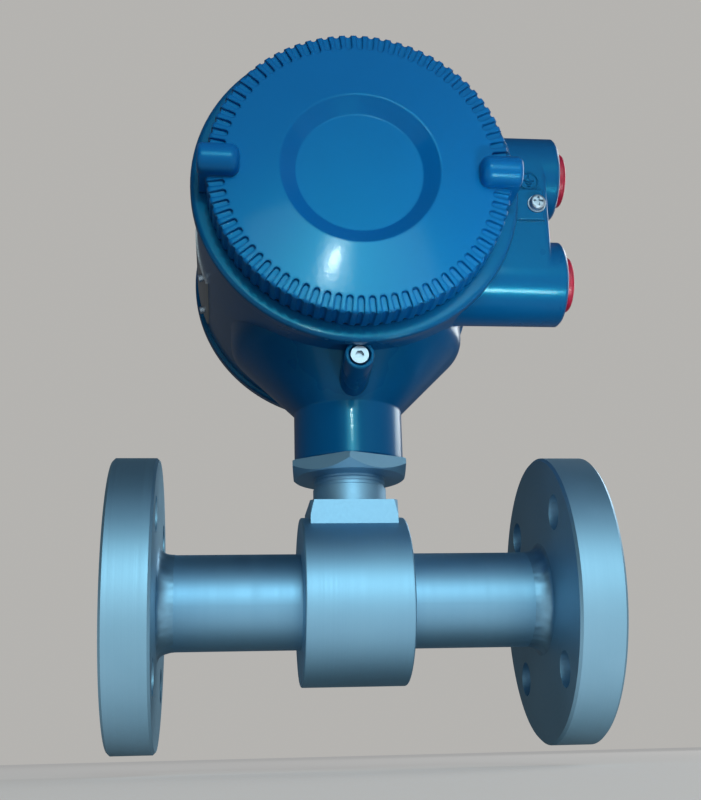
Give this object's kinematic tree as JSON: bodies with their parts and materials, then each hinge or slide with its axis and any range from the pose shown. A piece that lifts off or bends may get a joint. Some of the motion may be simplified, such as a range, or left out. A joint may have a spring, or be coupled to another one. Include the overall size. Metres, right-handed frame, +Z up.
{
  "type": "electromagnetic flow meter",
  "caption": "Flanged electromagnetic flow meter: lined pipe section with a round coil casing, and a swivelling drum head with fluted screw covers and side cable entries.",
  "frame": {"origin": "middle of the flow bore's axis, half way between the two sealing faces", "axes": "+X along the pipe from the inlet to the outlet, +Z up the neck to the head, +Y along the head's own axis towards the display cover"},
  "size_m": [0.194, 0.154, 0.28],
  "materials": {
    "cover_paint": "gloss blue enamel",
    "housing_paint": "gloss teal enamel",
    "flange_steel": "satin turned stainless steel",
    "pipe_steel": "satin stainless steel tube",
    "casing_steel": "fine turned stainless steel",
    "nut_steel": "matt machined stainless steel",
    "weld_steel": "rough grey weld bead",
    "liner_rubber": "dull hard rubber",
    "magnet_iron": "plain soft iron",
    "coil_copper": "enamelled copper winding",
    "electrode_steel": "polished alloy",
    "insulator": "plain insulating plastic",
    "potting": "cast potting compound",
    "screw_zinc": "bright zinc plate",
    "plug_red": "soft red plastic",
    "plate_metal": "brushed sheet",
    "seal_rubber": "black seal rubber",
    "window_clear": "toughened clear glass",
    "terminal_plastic": "dark moulded plastic",
    "board_green": "solder-masked laminate",
    "bezel_black": "black moulded plastic",
    "lcd_grey": "grey-green display glass",
    "post_brass": "nickelled brass post"
  },
  "bodies": {
    "sensor": {"measuring_tube": "pipe_steel", "liner": "liner_rubber", "inlet_flange": "flange_steel", "outlet_flange": "flange_steel", "inlet_weld": "weld_steel", "outlet_weld": "weld_steel", "casing_shell": "casing_steel", "inlet_cheek": "casing_steel", "outlet_cheek": "casing_steel", "upper_pole": "magnet_iron", "lower_pole": "magnet_iron", "upper_coil": "coil_copper", "lower_coil": "coil_copper", "yoke": "magnet_iron", "front_electrode": "electrode_steel", "rear_electrode": "electrode_steel", "electrode_sleeves": "insulator", "electrode_nuts": "electrode_steel", "neck_stub": "nut_steel", "potting_plug": "potting", "lock_nut": "nut_steel"},
    "head": {"housing": "housing_paint", "front_lock_screw": "screw_zinc", "rear_lock_screw": "screw_zinc", "ground_screw": "screw_zinc", "ground_washer": "screw_zinc", "side_plate": "plate_metal", "plate_rivets": "screw_zinc", "terminal_block": "terminal_plastic", "terminal_screws": "screw_zinc", "rear_posts": "post_brass", "middle_posts": "post_brass", "front_posts": "post_brass", "power_board": "board_green", "signal_board": "board_green", "display_board": "board_green", "lcd_panel": "lcd_grey", "display_bezel": "bezel_black", "display_keys": "insulator", "display_screws": "screw_zinc"},
    "terminal_thread": {"terminal_cover_seal": "seal_rubber"},
    "terminal_lid": {"terminal_cover": "cover_paint"},
    "display_thread": {"display_cover_seal": "seal_rubber"},
    "display_lid": {"display_cover": "cover_paint", "window_gasket": "seal_rubber", "window_glass": "window_clear", "window_ring": "nut_steel"},
    "upper_plug": {"upper_conduit_plug": "plug_red"},
    "lower_plug": {"lower_conduit_plug": "plug_red"}
  },
  "joints": [
    {"name": "head_swivel", "type": "hinge", "parent": "sensor", "child": "head", "pos_m": [0, 0, 0.065], "axis": [0, 0, 1], "range_deg": [-170, 170]},
    {"name": "terminal_cover_travel", "type": "slide", "parent": "head", "child": "terminal_thread", "axis": [0, -1, 0], "range_m": [0, 0.01]},
    {"name": "terminal_cover_turn", "type": "hinge", "parent": "terminal_thread", "child": "terminal_lid", "pos_m": [0, 0, 0.157], "axis": [0, -1, 0], "range_deg": [0, 1800]},
    {"name": "display_cover_travel", "type": "slide", "parent": "head", "child": "display_thread", "axis": [0, 1, 0], "range_m": [0, 0.01]},
    {"name": "display_cover_turn", "type": "hinge", "parent": "display_thread", "child": "display_lid", "pos_m": [0, 0, 0.157], "axis": [0, 1, 0], "range_deg": [0, 1800]},
    {"name": "upper_plug_slide", "type": "slide", "parent": "head", "child": "upper_plug", "axis": [1, 0, 0], "range_m": [0, 0.011]},
    {"name": "lower_plug_slide", "type": "slide", "parent": "head", "child": "lower_plug", "axis": [1, 0, 0], "range_m": [0, 0.011]}
  ],
  "couplings": [
    {"joint": "terminal_cover_travel", "follows": "terminal_cover_turn", "m_per_rad": 0.00031831},
    {"joint": "display_cover_travel", "follows": "display_cover_turn", "m_per_rad": 0.00031831}
  ]
}
